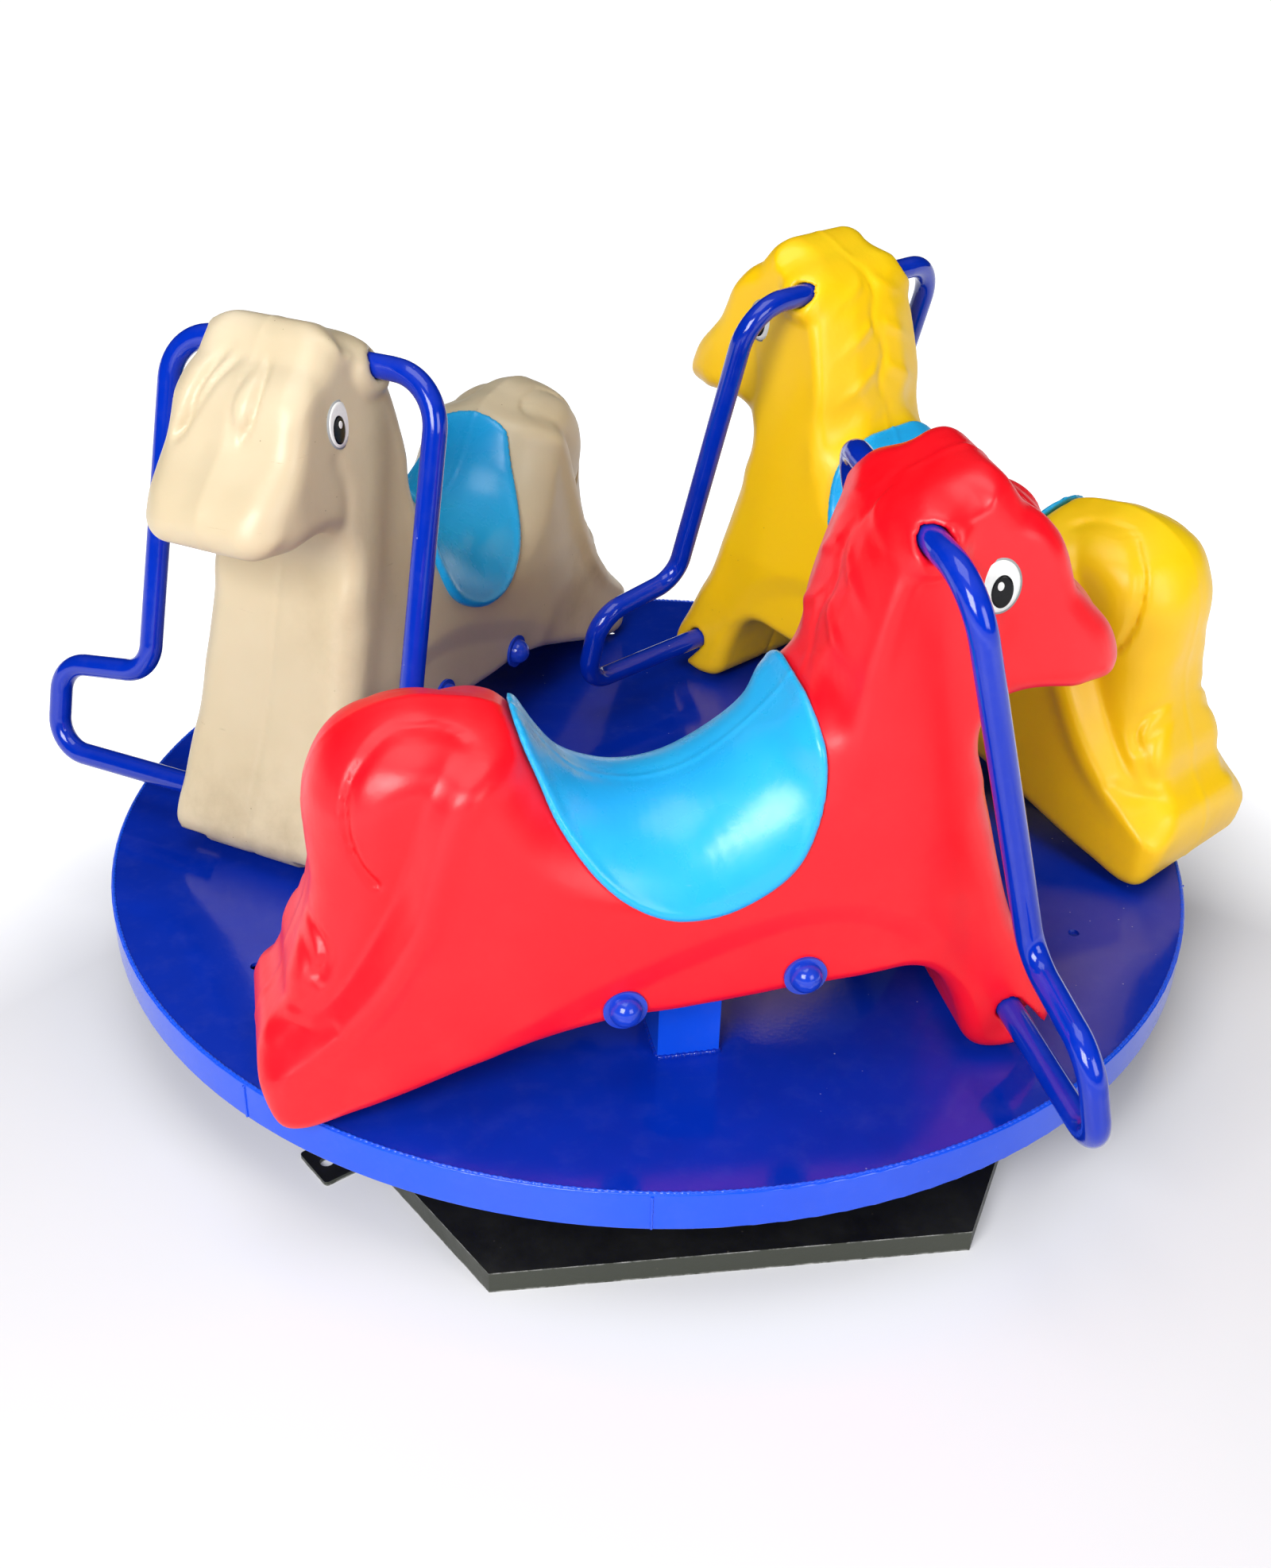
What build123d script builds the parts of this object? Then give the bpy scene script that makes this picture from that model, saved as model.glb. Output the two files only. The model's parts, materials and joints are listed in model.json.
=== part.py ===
from build123d import *
import math
import os

# Playground merry-go-round: three moulded horse seats on a round steel deck, which turns on a
# low bolted-down base. Millimetres, +Z up. The origin is on the turning axis at the ground, and
# the short side of the base that faces the first horse lies towards -Y.

# ---- deck and its ring --------------------------------------------------------------------
DECK_RADIUS = 600.0
DECK_TOP = 132.0
DECK_SHEET = 4.0
RIM_HEIGHT = 41.0
RIM_SHEET = 4.0
DRAIN_RADIUS = 6.0
DRAIN_CIRCLE = 492.0
DRAIN_ANGLE = -32.2

# ---- base: a triangle with its corners cut off ------------------------------------------------
BASE_SHORT_SIDE = 450.0
BASE_LONG_SIDE = 755.0
BASE_HEIGHT = 24.0
BASE_SHEET = 4.0
BASE_BAR = 6.0
TAB_LENGTH = 52.0
TAB_REACH = 52.0
TAB_SHEET = 5.0
TAB_OFFSET = 147.0
TAB_HOLE_RADIUS = 7.0
TAB_HOLE_REACH = 36.0

# ---- spindle, bearings and hub ------------------------------------------------------------
BORE_RADIUS = 25.0
RACE_OUTER_RADIUS = 45.0
RACE_WIDTH = 20.0
BALL_RADIUS = 6.35
BALL_CIRCLE_RADIUS = 35.0
BALL_COUNT = 10
BALL_CLEARANCE = 0.08
LOWER_RACE_Z = 48.0
UPPER_RACE_Z = 98.0
FLANGE_RADIUS = 80.0
FLANGE_SHEET = 12.0
FLANGE_BOLT_CIRCLE = 66.0
FLANGE_BOLTS = 6
BOLT_RADIUS = 6.0
HUB_RADIUS = 58.0
HUB_BOTTOM = 42.0
HUB_FLANGE_RADIUS = 95.0
HUB_FLANGE_SHEET = 8.0
CAP_FLANGE_RADIUS = 82.0
CAP_SCREW_CIRCLE = 70.0
ARM_COUNT = 6
ARM_WIDTH = 30.0
ARM_HEIGHT = 25.0
ARM_WALL = 2.5

# ---- the horses: local x forward, y to the horse's left, z up from the deck ---------------
HORSES = (
    # name, angle round the deck, radius, toe of the nose away from the tangent
    ("red", -83.7, 367.0, -2.5),
    ("yellow", 33.7, 392.0, 1.5),
    ("beige", 150.1, 342.0, -4.0),
)
HORSE_WIDTH_LOW = 200.0
HORSE_WIDTH_TOP = 146.0
TAPER_FROM = 200.0
TAPER_TO = 600.0
HORSE_WALL = 6.0
HORSE_EDGE = 16.0
SADDLE_FLAP = 6.0
BELLY_REAR = (-200.0, 84.0)
BELLY_FRONT = (138.0, 117.0)

# Side outline of the moulded body: x, z and the rounding of each corner, from the heel forward.
OUTLINE = (
    (-453, 8, 26), (-404, 8, 40), (*BELLY_REAR, 90), (*BELLY_FRONT, 34), (184, 62, 60),
    (204, 6, 30), (254, 10, 22), (276, 40, 14), (212, 196, 260), (168, 386, 26),
    (300, 383, 20), (303, 408, 14), (243, 482, 20), (240, 510, 24), (166, 590, 30),
    (82, 550, 34), (28, 381, 26), (-62, 288, 70), (-166, 284, 70), (-236, 370, 24),
    (-262, 390, 60), (-350, 392, 66), (-408, 346, 66), (-404, 226, 60), (-442, 152, 24),
    (-432, 108, 16), (-463, 84, 16),
)
# Side outline of the saddle, from its rear tip forward over the seat and back along its flap.
SADDLE_TOP = ((-238, 382), (-166, 292), (-62, 296), (26, 398))
SADDLE_FLAP_EDGE = ((40, 396), (45, 330), (16, 240), (-96, 190), (-188, 236), (-236, 335))
SADDLE_CORNERS = (8, 70, 70, 10, 10, 60, 60, 120, 60, 60)

# ---- what holds a horse up ------------------------------------------------------------------
POST_LENGTH = 60.0
POST_WIDTH = 88.0
POST_WALL = 4.0
POST_X = -66.0
BOLT_RISE = 20.0
BOLT_XS = (-141.0, 24.0)
SLEEVE_RADIUS = 12.0
BAR_WIDTH = 60.0
BAR_SHEET = 8.0
WASHER_RADIUS = 20.0
WASHER_SHEET = 3.0
CAP_RADIUS = 15.0

# ---- handles --------------------------------------------------------------------------------
TUBE_RADIUS = 12.5
TUBE_WALL = 2.0
TUBE_HOLE_CLEARANCE = 0.5
TUBE_END_Y = 3.0
HAND_ENTRY = (106.0, 533.0)
FOOT_ENTRY = (230.0, 58.0)
HANDLE_BENDS = (
    # x, y and z of each corner of the bent tube, then its bend radius
    (110, 162, 531, 53), (207, 167, 173, 36), (210, 290, 156, 40), (232, 295, 56, 36),
)
SPIGOT_REACH = 45.0

# ---- eyes -----------------------------------------------------------------------------------
EYE_AT = (167.0, 490.0)
EYE_HALF = (16.0, 24.0)
EYE_SHEET = 1.2

PLATE_BOTTOM = BASE_HEIGHT - BASE_SHEET
RIM_BOTTOM = DECK_TOP - RIM_HEIGHT
DECK_BOTTOM = DECK_TOP - DECK_SHEET
LONG_APOTHEM = (BASE_LONG_SIDE + 2 * BASE_SHORT_SIDE) / (2 * math.sqrt(3))
SHORT_APOTHEM = (2 * BASE_LONG_SIDE + BASE_SHORT_SIDE) / (2 * math.sqrt(3))
TAPER = math.degrees(math.atan((HORSE_WIDTH_LOW - HORSE_WIDTH_TOP) / 2 / (TAPER_TO - TAPER_FROM)))
SIDE = HORSE_WIDTH_LOW / 2
BELLY_SLOPE = math.degrees(math.atan2(BELLY_FRONT[1] - BELLY_REAR[1], BELLY_FRONT[0] - BELLY_REAR[0]))


def disc(radius, low, high):
    """A cylinder about the turning axis between two heights."""
    return Pos(0, 0, low) * extrude(Circle(radius), amount=high - low)


def ring(outer, inner, low, high):
    """A ring about the turning axis between two heights."""
    return disc(outer, low, high) - disc(inner, low - 1, high + 1)


def around(count, shape):
    """Copies of a shape, evenly spaced about the turning axis."""
    return [Rot(0, 0, 360 * i / count) * shape for i in range(count)]


def side_face(corners):
    """A closed face in the horse's side view from corners of x, z and rounding radius."""
    flat = [(x, z) for x, z, _ in corners]
    radii = [r for _, _, r in corners]
    outline = FilletPolyline(*flat, radius=radii, close=True)
    return Plane.XZ * make_face(outline)


def slab(face, half):
    """A side-view face made solid to the same width on both sides of the middle plane."""
    return extrude(face, amount=half, both=True)


# ---- base -----------------------------------------------------------------------------------
def base_outline(inset):
    """The cut triangle, moved in from its outer edge by an inset."""
    corners = []
    for side in range(3):
        for sign in (-1, 1):
            point = Vector(sign * BASE_SHORT_SIDE / 2, -SHORT_APOTHEM).rotate(Axis.Z, 120 * side)
            corners.append(point)
    face = make_face(Polyline(*corners, close=True))
    return offset(face, -inset, kind=Kind.INTERSECTION) if inset else face


def base_plate():
    plate = Pos(0, 0, PLATE_BOTTOM) * extrude(base_outline(0), amount=BASE_SHEET)
    for hole in flange_circle(BOLT_RADIUS + 0.5, 0, BASE_HEIGHT + 1):
        plate -= hole
    return plate


def base_frame():
    """The edge bars under the plate, with three cross bars that meet at a middle ring."""
    frame = extrude(base_outline(0), amount=PLATE_BOTTOM)
    frame -= extrude(base_outline(BASE_BAR), amount=PLATE_BOTTOM)
    reach = LONG_APOTHEM - BASE_BAR / 2
    bar = Pos(0, reach / 2, PLATE_BOTTOM / 2) * Box(40, reach, PLATE_BOTTOM)
    for spoke in around(3, bar):
        frame += spoke
    frame += disc(FLANGE_RADIUS + 24, 0, PLATE_BOTTOM)
    return frame - disc(FLANGE_RADIUS + 4, -1, PLATE_BOTTOM + 1)


def anchor_tabs():
    """Three drilled tabs at ground level, one on each long side."""
    tab = Pos(0, LONG_APOTHEM + TAB_REACH / 2, TAB_SHEET / 2) * Box(TAB_LENGTH, TAB_REACH, TAB_SHEET)
    tab = fillet(tab.edges().filter_by(Axis.Z).group_by(Axis.Y)[-1], 4)
    hole = Pos(0, LONG_APOTHEM + TAB_HOLE_REACH, 0) * Cylinder(TAB_HOLE_RADIUS, 4 * TAB_SHEET)
    return around(3, Pos(-TAB_OFFSET, 0, 0) * (tab - hole))


# ---- spindle and hub ------------------------------------------------------------------------
def flange_circle(radius, low, high):
    """Cylinders at the places of the flange bolts."""
    return around(FLANGE_BOLTS, Pos(FLANGE_BOLT_CIRCLE, 0, 0) * disc(radius, low, high))


def spindle_flange():
    flange = disc(FLANGE_RADIUS, BASE_HEIGHT, BASE_HEIGHT + FLANGE_SHEET)
    for hole in flange_circle(BOLT_RADIUS + 0.5, 0, 60):
        flange -= hole
    return flange


def spindle():
    foot = BASE_HEIGHT + FLANGE_SHEET
    shaft = disc(30, foot, LOWER_RACE_Z) + disc(BORE_RADIUS, LOWER_RACE_Z, UPPER_RACE_Z + RACE_WIDTH)
    shaft += disc(22.5, UPPER_RACE_Z + RACE_WIDTH, DECK_TOP + 6)
    return chamfer(shaft.edges().group_by(Axis.Z)[-1], 1.5)


def hexagon(across, low, high):
    return Pos(0, 0, low) * extrude(RegularPolygon(across / 2, 6, major_radius=False), amount=high - low)


def flange_bolts():
    top = BASE_HEIGHT + FLANGE_SHEET
    bolt = hexagon(18, top, top + 5) + disc(BOLT_RADIUS, PLATE_BOTTOM - 14, top)
    return around(FLANGE_BOLTS, Pos(FLANGE_BOLT_CIRCLE, 0, 0) * bolt)


def flange_nuts():
    nut = hexagon(18, PLATE_BOTTOM - 10, PLATE_BOTTOM) - disc(BOLT_RADIUS, 0, PLATE_BOTTOM + 1)
    return around(FLANGE_BOLTS, Pos(FLANGE_BOLT_CIRCLE, 0, 0) * nut)


def ball_groove(low):
    middle = low + RACE_WIDTH / 2
    return Pos(0, 0, middle) * Torus(BALL_CIRCLE_RADIUS, BALL_RADIUS + BALL_CLEARANCE)


def inner_race(low):
    race = ring(BALL_CIRCLE_RADIUS - 4, BORE_RADIUS, low, low + RACE_WIDTH)
    return race - ball_groove(low)


def outer_race(low):
    race = ring(RACE_OUTER_RADIUS, BALL_CIRCLE_RADIUS + 4, low, low + RACE_WIDTH)
    return race - ball_groove(low)


def balls(low):
    ball = Pos(BALL_CIRCLE_RADIUS, 0, low + RACE_WIDTH / 2) * Sphere(BALL_RADIUS)
    return around(BALL_COUNT, ball)


def cage(low):
    """The ring that keeps the balls apart, with a pocket for each."""
    middle = low + RACE_WIDTH / 2
    body = ring(BALL_CIRCLE_RADIUS + 2.5, BALL_CIRCLE_RADIUS - 2.5, middle - 7, middle + 7)
    pocket = Pos(BALL_CIRCLE_RADIUS, 0, middle) * Rot(0, 90, 0) * Cylinder(BALL_RADIUS + BALL_CLEARANCE, 12)
    for space in around(BALL_COUNT, pocket):
        body -= space
    return body


def race_spacer():
    return ring(31, BORE_RADIUS, LOWER_RACE_Z + RACE_WIDTH, UPPER_RACE_Z)


def lock_washer():
    top = UPPER_RACE_Z + RACE_WIDTH
    return ring(33, 22.5, top, top + 2)


def lock_nut():
    """A round slotted nut on the spindle's thread."""
    low = UPPER_RACE_Z + RACE_WIDTH + 2
    nut = ring(33, 22.5, low, low + 11)
    slot = Pos(33, 0, low + 5.5) * Box(8, 6, 12)
    for cut in around(4, slot):
        nut -= cut
    return nut


def hub_housing():
    """The tube that carries both outer races, with a flange under the deck."""
    hub = disc(HUB_RADIUS, HUB_BOTTOM, DECK_BOTTOM) + disc(HUB_FLANGE_RADIUS, DECK_BOTTOM - HUB_FLANGE_SHEET, DECK_BOTTOM)
    hub -= disc(RACE_OUTER_RADIUS, HUB_BOTTOM - 1, LOWER_RACE_Z + RACE_WIDTH)
    hub -= disc(RACE_OUTER_RADIUS, UPPER_RACE_Z, DECK_BOTTOM + 1)
    hub -= disc(RACE_OUTER_RADIUS - 5, HUB_BOTTOM, DECK_BOTTOM)
    for hole in cap_screw_circle(3, DECK_BOTTOM - 9, DECK_BOTTOM + 1):
        hub -= hole
    return hub


def dust_seal():
    return ring(RACE_OUTER_RADIUS, 30.4, HUB_BOTTOM + 1, LOWER_RACE_Z - 0.5)


def retaining_ring():
    low = UPPER_RACE_Z + RACE_WIDTH
    return ring(RACE_OUTER_RADIUS, 40, low, low + 3)


def hub_cap():
    """A low domed cover over the spindle's end."""
    dome = fillet(disc(50, DECK_TOP, DECK_TOP + 16).edges().group_by(Axis.Z)[-1], 12)
    rim = fillet(disc(CAP_FLANGE_RADIUS, DECK_TOP, DECK_TOP + 4).edges().group_by(Axis.Z)[-1], 2)
    dome += rim
    dome -= disc(46, DECK_TOP - 1, DECK_TOP + 2) + disc(38, DECK_TOP - 1, DECK_TOP + 12)
    for hole in cap_screw_circle(3.2, DECK_TOP - 1, DECK_TOP + 20):
        dome -= hole
    return dome


def cap_screw_circle(radius, low, high):
    """Cylinders at the places of the three screws of the hub cap."""
    return around(3, Pos(CAP_SCREW_CIRCLE, 0, 0) * disc(radius, low, high))


def hub_cap_screws():
    head = fillet(disc(6, DECK_TOP + 4, DECK_TOP + 8).edges().group_by(Axis.Z)[-1], 3)
    screw = head + disc(3, DECK_BOTTOM - 6, DECK_TOP + 4)
    return around(3, Pos(CAP_SCREW_CIRCLE, 0, 0) * screw)


# ---- deck -----------------------------------------------------------------------------------
def deck_plate():
    deck = ring(DECK_RADIUS - RIM_SHEET, 50, DECK_BOTTOM, DECK_TOP)
    for hole in around(3, Pos(DRAIN_CIRCLE, 0, 0) * disc(DRAIN_RADIUS, DECK_BOTTOM - 1, DECK_TOP + 1)):
        deck -= Rot(0, 0, DRAIN_ANGLE) * hole
    for hole in cap_screw_circle(3, DECK_BOTTOM - 1, DECK_TOP + 1):
        deck -= hole
    return deck


def rim_band():
    band = ring(DECK_RADIUS, DECK_RADIUS - RIM_SHEET, RIM_BOTTOM, DECK_TOP)
    outer = band.edges().filter_by(GeomType.CIRCLE).filter_by(lambda e: e.radius > DECK_RADIUS - 1)
    return fillet(outer, 1.5)


def platform_arms():
    """Box-section arms from the hub out to the rim, under the deck."""
    middle = DECK_BOTTOM - ARM_HEIGHT / 2
    arm = Pos(DECK_RADIUS / 2, 0, middle) * Box(DECK_RADIUS, ARM_WIDTH, ARM_HEIGHT)
    inside = Box(DECK_RADIUS + 2, ARM_WIDTH - 2 * ARM_WALL, ARM_HEIGHT - 2 * ARM_WALL)
    arm -= Pos(DECK_RADIUS / 2, 0, middle) * inside
    arm &= ring(DECK_RADIUS - RIM_SHEET, HUB_RADIUS, 0, DECK_TOP)
    arm -= disc(HUB_FLANGE_RADIUS, DECK_BOTTOM - HUB_FLANGE_SHEET, DECK_TOP)
    return around(ARM_COUNT, Rot(0, 0, 30) * arm)


# ---- a horse --------------------------------------------------------------------------------
def front_view(shrink):
    """The width of the body at every height, as a face that is pushed along the horse."""
    low = SIDE - shrink
    top = HORSE_WIDTH_TOP / 2 - shrink
    high = TAPER_TO + 30
    corners = [(-low, -10), (low, -10), (low, TAPER_FROM), (top, TAPER_TO), (top, high)]
    corners += [(-top, high), (-top, TAPER_TO), (-low, TAPER_FROM)]
    return Plane.YZ * make_face(Polyline(*corners, close=True))


def horse_block():
    """The body as a solid block, with the edges round its two sides rounded."""
    block = slab(side_face(OUTLINE), SIDE + 20) & extrude(front_view(0), amount=600, both=True)
    sides = [face for face in block.faces() if abs(face.normal_at().Y) > 0.9]
    edges = [edge for face in sides for edge in face.edges()]
    return fillet([edge for edge in edges if edges.count(edge) == 1], HORSE_EDGE)


def horse_body(block):
    """The hollow moulding, open for the post, the bolts and the handle tubes."""
    inner = slab(offset(side_face(OUTLINE), -HORSE_WALL), SIDE + 20)
    inner &= extrude(front_view(HORSE_WALL), amount=600, both=True)
    body = block - inner
    body -= Pos(POST_X, 0, 90) * Box(POST_LENGTH + 4, POST_WIDTH + 4, 40)
    for x in BOLT_XS:
        body -= cross_bar(x, bolt_height(x), BOLT_RADIUS + 0.3, 2 * SIDE + 20)
    hole = TUBE_RADIUS + TUBE_HOLE_CLEARANCE
    for x, z in (HAND_ENTRY, FOOT_ENTRY):
        body -= cross_bar(x, z, hole, 2 * SIDE + 20)
    slot = Pos(hole * 2, 0, 0) * Box(hole * 4, 2 * SIDE + 20, 2 * hole)
    return body - Pos(FOOT_ENTRY[0], 0, FOOT_ENTRY[1]) * Rot(0, 50, 0) * slot


def cross_bar(x, z, radius, length):
    """A cylinder across the horse at a place in its side view."""
    return Pos(x, 0, z) * Rot(90, 0, 0) * Cylinder(radius, length)


def bolt_height(x):
    """Height of a seat bolt: a constant rise over the belly line."""
    along = (x - BELLY_REAR[0]) / (BELLY_FRONT[0] - BELLY_REAR[0])
    return BELLY_REAR[1] + along * (BELLY_FRONT[1] - BELLY_REAR[1]) + BOLT_RISE


def saddle(block):
    """A sheet over the seat with a flap down each side, lying on the body."""
    corners = [(x, z, r) for (x, z), r in zip(SADDLE_TOP + SADDLE_FLAP_EDGE, SADDLE_CORNERS)]
    sheet = slab(side_face(corners), SIDE + SADDLE_FLAP)
    outer = sheet.faces().sort_by(Axis.Y)
    sheet = fillet(outer[0].edges() + outer[-1].edges(), SADDLE_FLAP - 1)
    return sheet - block


def bar_plane():
    """Underside of the bracket's flat bar, above the post and parallel to the belly."""
    middle = sum(BOLT_XS) / 2
    return Pos(middle, 0, bolt_height(middle) + SLEEVE_RADIUS - 2) * Rot(0, -BELLY_SLOPE, 0)


def bracket():
    """A flat bar with two cross sleeves for the seat bolts."""
    length = BOLT_XS[1] - BOLT_XS[0] + 44
    metal = bar_plane() * Pos(0, 0, BAR_SHEET / 2) * Box(length, BAR_WIDTH, BAR_SHEET)
    for x in BOLT_XS:
        metal += cross_bar(x, bolt_height(x), SLEEVE_RADIUS, 2 * (SIDE - HORSE_WALL))
    for x in BOLT_XS:
        metal -= cross_bar(x, bolt_height(x), BOLT_RADIUS + 0.3, 2 * SIDE)
    return metal


def post():
    """The box tube between the deck and the bracket."""
    tube = Pos(POST_X, 0, 100) * Box(POST_LENGTH, POST_WIDTH, 200)
    tube -= Pos(POST_X, 0, 100) * Box(POST_LENGTH - 2 * POST_WALL, POST_WIDTH - 2 * POST_WALL, 210)
    return tube - bar_plane() * Pos(0, 0, 100) * Box(500, 200, 200)


def handle(side):
    """One bent tube, from inside the head, out and down to the foot loop and into the hoof."""
    bends = [(x, side * y, z) for x, y, z, _ in HANDLE_BENDS]
    radii = [r for _, _, _, r in HANDLE_BENDS]
    start = (HAND_ENTRY[0], side * TUBE_END_Y, HAND_ENTRY[1])
    reach = (HAND_ENTRY[0], side * (SIDE + 4), HAND_ENTRY[1])
    end = (FOOT_ENTRY[0], side * TUBE_END_Y, FOOT_ENTRY[1])
    inside = (FOOT_ENTRY[0], side * (SIDE + 4), FOOT_ENTRY[1])
    path = FilletPolyline(start, reach, *bends, inside, end, radius=[20, *radii, 20])
    frame = Plane(start, z_dir=(0, side, 0))
    outer = sweep(frame * Circle(TUBE_RADIUS), path=path)
    return outer - sweep(frame * Circle(TUBE_RADIUS - TUBE_WALL), path=path)


def handle_spigots():
    """Round bars inside the tube ends, which join the two handles across the body."""
    radius = TUBE_RADIUS - TUBE_WALL
    return [cross_bar(x, z, radius, 2 * SPIGOT_REACH) for x, z in (HAND_ENTRY, FOOT_ENTRY)]


def eyes():
    """A thin oval label on each side of the head."""
    x, z = EYE_AT
    half = SIDE - (z - TAPER_FROM) * math.tan(math.radians(TAPER))
    label = extrude(Ellipse(*EYE_HALF), amount=EYE_SHEET)
    right = Pos(x, -half, z) * Rot(90 - TAPER, 0, 0) * label
    left = Pos(x, half, z) * Rot(-90 + TAPER, 0, 0) * label
    return [right, left]


def studs():
    length = 2 * (SIDE + WASHER_SHEET + 9)
    return [cross_bar(x, bolt_height(x), BOLT_RADIUS, length) for x in BOLT_XS]


def washers():
    parts = []
    for x in BOLT_XS:
        for side in (-1, 1):
            flat = Cylinder(WASHER_RADIUS, WASHER_SHEET) - Cylinder(BOLT_RADIUS + 0.3, WASHER_SHEET + 2)
            place = Pos(x, side * (SIDE + WASHER_SHEET / 2), bolt_height(x)) * Rot(90, 0, 0)
            parts.append(place * flat)
    return parts


def dome_caps():
    parts = []
    for x in BOLT_XS:
        for side in (-1, 1):
            dome = Sphere(CAP_RADIUS) & Pos(0, 0, CAP_RADIUS) * Box(60, 60, 2 * CAP_RADIUS)
            dome -= Cylinder(BOLT_RADIUS, 18)
            place = Pos(x, side * (SIDE + WASHER_SHEET), bolt_height(x)) * Rot(-90 * side, 0, 0)
            parts.append(place * dome)
    return parts


def station(angle, radius, toe):
    """Where a horse stands: its middle on the deck, facing round with the turn."""
    return Rot(0, 0, angle) * Pos(radius, 0, DECK_TOP) * Rot(0, 0, 90 + toe)


def build():
    parts = {
        "base_plate": base_plate(),
        "base_frame": base_frame(),
        "anchor_tabs": anchor_tabs(),
        "spindle_flange": spindle_flange(),
        "spindle": spindle(),
        "flange_bolts": flange_bolts(),
        "flange_nuts": flange_nuts(),
        "race_spacer": race_spacer(),
        "lock_washer": lock_washer(),
        "lock_nut": lock_nut(),
        "hub_housing": hub_housing(),
        "dust_seal": dust_seal(),
        "retaining_ring": retaining_ring(),
        "hub_cap": hub_cap(),
        "hub_cap_screws": hub_cap_screws(),
        "deck_plate": deck_plate(),
        "rim_band": rim_band(),
        "platform_arms": platform_arms(),
    }
    for name, low in (("lower", LOWER_RACE_Z), ("upper", UPPER_RACE_Z)):
        parts[name + "_inner_race"] = inner_race(low)
        parts[name + "_outer_race"] = outer_race(low)
        parts[name + "_cage"] = cage(low)
        parts[name + "_balls"] = balls(low)

    block = horse_block()
    body = horse_body(block)
    seat = saddle(block)
    fasteners = {"seat_studs": [], "seat_washers": [], "dome_caps": []}
    for name, angle, radius, toe in HORSES:
        place = station(angle, radius, toe)
        parts[name + "_horse"] = place * body
        parts[name + "_saddle"] = place * seat
        parts[name + "_left_handle"] = place * handle(1)
        parts[name + "_right_handle"] = place * handle(-1)
        parts[name + "_handle_spigots"] = [place * bar for bar in handle_spigots()]
        parts[name + "_post"] = place * post()
        parts[name + "_bracket"] = place * bracket()
        parts[name + "_eyes"] = [place * eye for eye in eyes()]
        fasteners["seat_studs"] += [place * stud for stud in studs()]
        fasteners["seat_washers"] += [place * washer for washer in washers()]
        fasteners["dome_caps"] += [place * cap for cap in dome_caps()]
    return parts | fasteners


os.makedirs("parts", exist_ok=True)
for node, shape in build().items():
    solids = shape if isinstance(shape, list) else [shape]
    found = [solid for item in solids for solid in item.solids()]
    export_step(Compound(children=found) if len(found) > 1 else found[0], f"parts/{node}.step")
    print(node, len(found), [round(v) for v in Compound(children=found).bounding_box().size])
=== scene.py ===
import json
import math

import bpy
import numpy as np
from mathutils import Matrix, Vector


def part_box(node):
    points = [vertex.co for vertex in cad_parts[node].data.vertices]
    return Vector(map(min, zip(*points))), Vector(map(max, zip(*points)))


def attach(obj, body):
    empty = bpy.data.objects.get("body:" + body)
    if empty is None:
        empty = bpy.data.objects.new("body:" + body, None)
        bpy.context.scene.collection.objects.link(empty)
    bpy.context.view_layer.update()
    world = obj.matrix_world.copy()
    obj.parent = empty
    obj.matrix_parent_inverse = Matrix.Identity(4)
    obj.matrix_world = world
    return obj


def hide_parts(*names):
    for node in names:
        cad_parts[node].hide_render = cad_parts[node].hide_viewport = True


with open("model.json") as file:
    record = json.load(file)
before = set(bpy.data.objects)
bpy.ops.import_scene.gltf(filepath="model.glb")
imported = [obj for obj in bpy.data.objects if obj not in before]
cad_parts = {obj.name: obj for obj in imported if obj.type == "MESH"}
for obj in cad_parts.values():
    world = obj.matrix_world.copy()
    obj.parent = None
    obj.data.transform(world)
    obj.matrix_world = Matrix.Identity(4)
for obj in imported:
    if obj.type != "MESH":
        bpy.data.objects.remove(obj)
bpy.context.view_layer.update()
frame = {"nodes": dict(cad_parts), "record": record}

# ------------------------------------------------------------------------------------------
# A playground merry-go-round. Lengths in this file are metres unless a name says millimetres.
# A horse is drawn in its own frame: x forward, y to its left, z up from the deck.
# ------------------------------------------------------------------------------------------
MM = 0.001
DECK_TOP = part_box("deck_plate")[1][2]
DECK_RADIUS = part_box("rim_band")[1][0]
RIM_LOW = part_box("rim_band")[0][2]
GRID = 3.6
SADDLE_GRID = 2.6

STATIONS = {
    # horse: angle round the deck, radius in millimetres, toe of the nose away from the tangent
    "red": (-83.7, 367.0, -2.5),
    "yellow": (33.7, 392.0, 1.5),
    "beige": (150.1, 342.0, -4.0),
}

# Side outline of the body, millimetres, from the heel forward under the belly and back on top.
OUTLINE = (
    (-458, 30), (-448, 12), (-430, 7), (-404, 12), (-340, 34), (-270, 60), (-215, 79), (-160, 91),
    (-80, 98), (0, 105), (80, 112), (128, 116), (154, 104), (172, 78), (184, 48), (193, 22),
    (206, 9), (224, 7), (244, 9), (260, 15), (272, 27), (276, 42), (270, 62), (250, 104),
    (229, 148), (211, 198), (195, 256), (181, 302), (171, 334), (172, 360), (184, 378),
    (206, 386), (232, 387), (258, 384), (279, 383), (292, 387), (299, 397), (300, 409),
    (294, 424), (282, 440), (264, 458), (248, 475), (240, 492), (234, 508), (226, 523),
    (214, 536), (203, 544), (192, 551), (183, 562), (173, 574), (158, 582), (140, 578),
    (122, 569), (103, 560), (86, 547), (73, 530), (63, 507), (54, 478), (46, 448), (39, 418),
    (32, 390), (20, 367), (-3, 340), (-34, 312), (-70, 290), (-112, 281), (-150, 287),
    (-180, 303), (-204, 330), (-223, 357), (-238, 373), (-256, 381), (-278, 385), (-305, 388),
    (-333, 384), (-357, 374), (-380, 358), (-396, 335), (-406, 300), (-406, 262), (-405, 228),
    (-411, 198), (-422, 170), (-432, 146), (-436, 124), (-446, 106), (-458, 90), (-464, 70),
    (-463, 48),
)

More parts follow.
